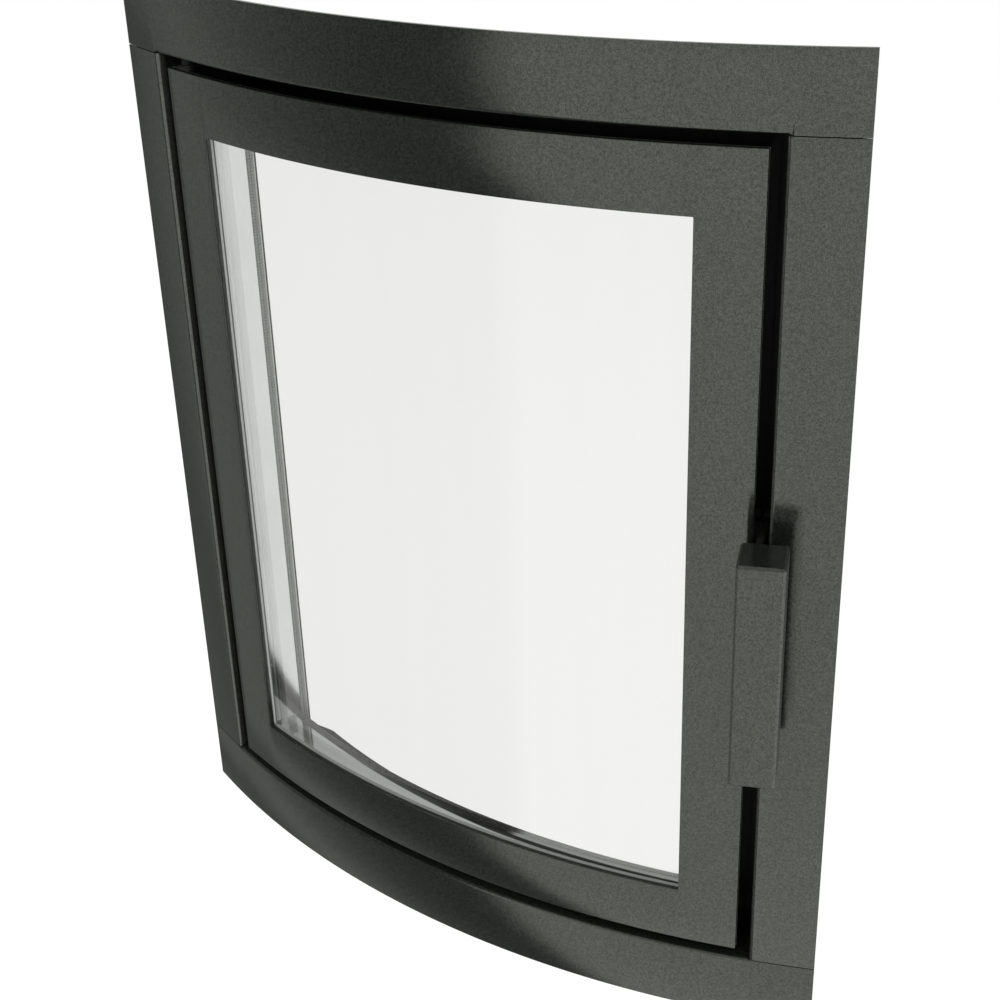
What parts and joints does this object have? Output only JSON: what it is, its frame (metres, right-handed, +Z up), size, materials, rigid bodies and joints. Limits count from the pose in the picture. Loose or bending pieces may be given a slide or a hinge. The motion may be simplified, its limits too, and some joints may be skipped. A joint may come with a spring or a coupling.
{
  "type": "fireplace glass door",
  "caption": "Curved glazed fireplace door in a bowed sheet-metal surround: hinged on the left, rope sealed, with a lifting bar handle and latch on the right.",
  "frame": {"origin": "middle of the rear mounting face, at half the surround's height", "axes": "+X to the right seen from the front, +Y back into the wall, +Z up; the bowed front faces -Y"},
  "size_m": [0.498, 0.1139, 0.6],
  "materials": {
    "charcoal_paint": "fine metallic anthracite stove paint, semi-gloss",
    "black_sheet": "matt black stove paint",
    "bright_steel": "bright rolled steel, semi-gloss",
    "zinc_steel": "zinc plated, satin",
    "bush_brass": "turned, satin",
    "door_glass": "clear polished ceramic glass",
    "tape_gasket": "woven glass-fibre tape",
    "rope_gasket": "braided grey glass-fibre rope"
  },
  "bodies": {
    "surround": {"surround_top_strip": "charcoal_paint", "surround_bottom_strip": "charcoal_paint", "surround_left_strip": "charcoal_paint", "surround_right_strip": "charcoal_paint", "strip_studs": "zinc_steel", "strip_nuts": "zinc_steel", "head_plate": "black_sheet", "sill_plate": "black_sheet", "jamb_left": "black_sheet", "jamb_right": "black_sheet", "seal_land_left": "black_sheet", "seal_land_right": "black_sheet", "seal_land_top": "black_sheet", "seal_land_bottom": "black_sheet", "hinge_bracket_top": "zinc_steel", "hinge_bracket_bottom": "zinc_steel", "hinge_bracket_screws": "zinc_steel", "hinge_pin_top": "zinc_steel", "hinge_pin_bottom": "zinc_steel", "keeper_bracket": "zinc_steel", "keeper_screws": "zinc_steel", "keeper_pin": "zinc_steel"},
    "door": {"door_face": "charcoal_paint", "door_channel_left": "bright_steel", "door_channel_right": "bright_steel", "door_channel_top": "bright_steel", "door_channel_bottom": "bright_steel", "hinge_block_top": "zinc_steel", "hinge_block_bottom": "zinc_steel", "hinge_bush_top": "bush_brass", "hinge_bush_bottom": "bush_brass", "glass_front_tape": "tape_gasket", "glass_pane": "door_glass", "glass_rear_tape": "tape_gasket", "retainer_left": "bright_steel", "retainer_right": "bright_steel", "retainer_top": "bright_steel", "retainer_bottom": "bright_steel", "retainer_screws": "zinc_steel", "door_seal_rope": "rope_gasket", "latch_block": "zinc_steel", "latch_stud": "zinc_steel", "latch_spacer": "bush_brass", "latch_clip": "zinc_steel", "lever_stop": "zinc_steel"},
    "latch_handle": {"latch_lever": "charcoal_paint", "handle_bar": "charcoal_paint", "handle_screws": "zinc_steel"},
    "keeper_wheel": {"keeper_roller": "zinc_steel"}
  },
  "joints": [
    {"name": "door_hinge", "type": "hinge", "parent": "surround", "child": "door", "pos_m": [-0.18979, -0.06579, 0], "axis": [0, 0, -1], "range_deg": [0, 105]},
    {"name": "latch_lift", "type": "hinge", "parent": "door", "child": "latch_handle", "pos_m": [0.20116, -0.05272, 0.03], "axis": [-0.9498, -0.3129, 0], "range_deg": [-5, 28]},
    {"name": "keeper_roller_spin", "type": "hinge", "parent": "surround", "child": "keeper_wheel", "pos_m": [0.19584, -0.03658, 0.034], "axis": [-0.9498, -0.3129, 0], "continuous": true}
  ]
}
